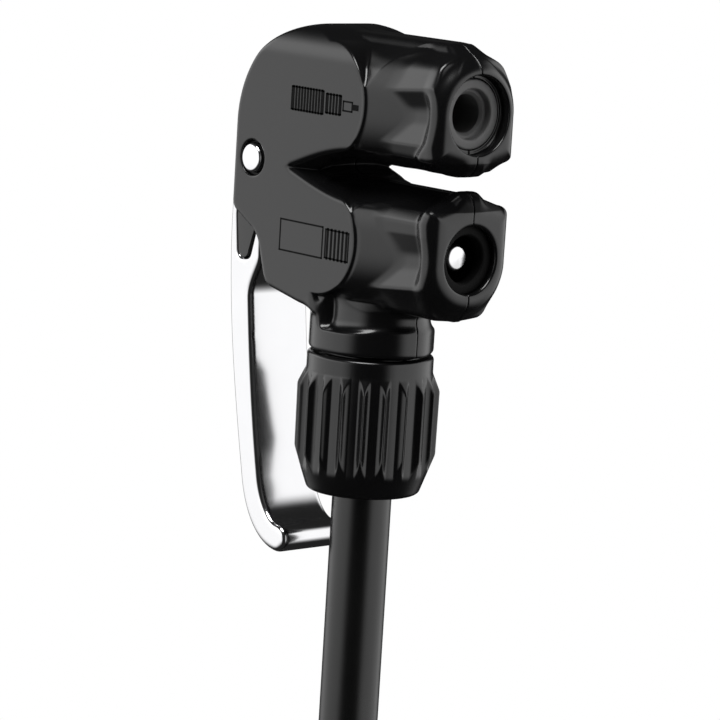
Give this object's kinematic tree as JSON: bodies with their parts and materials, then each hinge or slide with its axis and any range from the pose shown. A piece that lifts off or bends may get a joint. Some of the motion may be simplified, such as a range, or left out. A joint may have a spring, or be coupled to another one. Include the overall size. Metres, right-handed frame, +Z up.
{
  "type": "tyre pump head",
  "caption": "Black twin-port tyre pump head: two valve ports one above the other, polished swing lever behind, fluted hose nut below and a coiled hose with a threaded end.",
  "frame": {"origin": "on the lower (Schrader) port's axis, in the middle of its grommet's lip", "axes": "-Y out of the ports, +Z up towards the upper port, +X to the right seen from the ports' front"},
  "size_m": [0.0425, 0.1452, 0.2723],
  "materials": {
    "head_plastic": "satin moulded",
    "nut_plastic": "satin moulded",
    "cam_plastic": "satin moulded",
    "inner_plastic": "moulded",
    "rubber": "matte",
    "hose_rubber": "satin",
    "tie_rubber": "matte",
    "lever_metal": "polished",
    "polished_steel": "polished",
    "ferrule_metal": "satin",
    "brass": "machined"
  },
  "bodies": {
    "head": {"left_shell": "head_plastic", "right_shell": "head_plastic", "valve_block": "inner_plastic", "presta_grommet": "rubber", "schrader_grommet": "rubber", "pivot_pin": "polished_steel", "hose_stem": "brass", "stem_seal": "rubber", "hose": "hose_rubber", "hose_coil": "hose_rubber", "hose_tie": "tie_rubber", "hose_ferrule": "ferrule_metal", "hose_fitting": "brass", "fitting_seal": "rubber"},
    "lever": {"lever": "lever_metal", "lever_cam": "cam_plastic"},
    "presta_piston": {"presta_plunger": "inner_plastic", "presta_push_plate": "polished_steel", "presta_seal": "rubber"},
    "schrader_piston": {"schrader_plunger": "inner_plastic", "schrader_push_plate": "polished_steel", "schrader_seal": "rubber", "schrader_depressor": "polished_steel"},
    "sleeve": {"compression_sleeve": "inner_plastic"},
    "nut": {"clamp_nut": "nut_plastic"}
  },
  "joints": [
    {"name": "lever_swing", "type": "hinge", "parent": "head", "child": "lever", "pos_m": [0, 0.04325, 0.0123], "axis": [1, 0, 0], "range_deg": [0, 135]},
    {"name": "presta_press", "type": "slide", "parent": "head", "child": "presta_piston", "axis": [0, -1, 0], "range_m": [0, 0.003]},
    {"name": "schrader_release", "type": "slide", "parent": "head", "child": "schrader_piston", "axis": [0, 1, 0], "range_m": [0, 0.003]},
    {"name": "sleeve_drop", "type": "slide", "parent": "head", "child": "sleeve", "axis": [0, 0, -1], "range_m": [0, 0.003]},
    {"name": "nut_turn", "type": "hinge", "parent": "sleeve", "child": "nut", "pos_m": [0, 0.02125, -0.0327], "axis": [0, 0, -1], "range_deg": [0, 720]}
  ],
  "couplings": [
    {"joint": "presta_press", "follows": "lever_swing", "m_per_rad": 0.0012732},
    {"joint": "schrader_release", "follows": "lever_swing", "m_per_rad": 0.0012732},
    {"joint": "sleeve_drop", "follows": "nut_turn", "m_per_rad": 0.00023873}
  ]
}
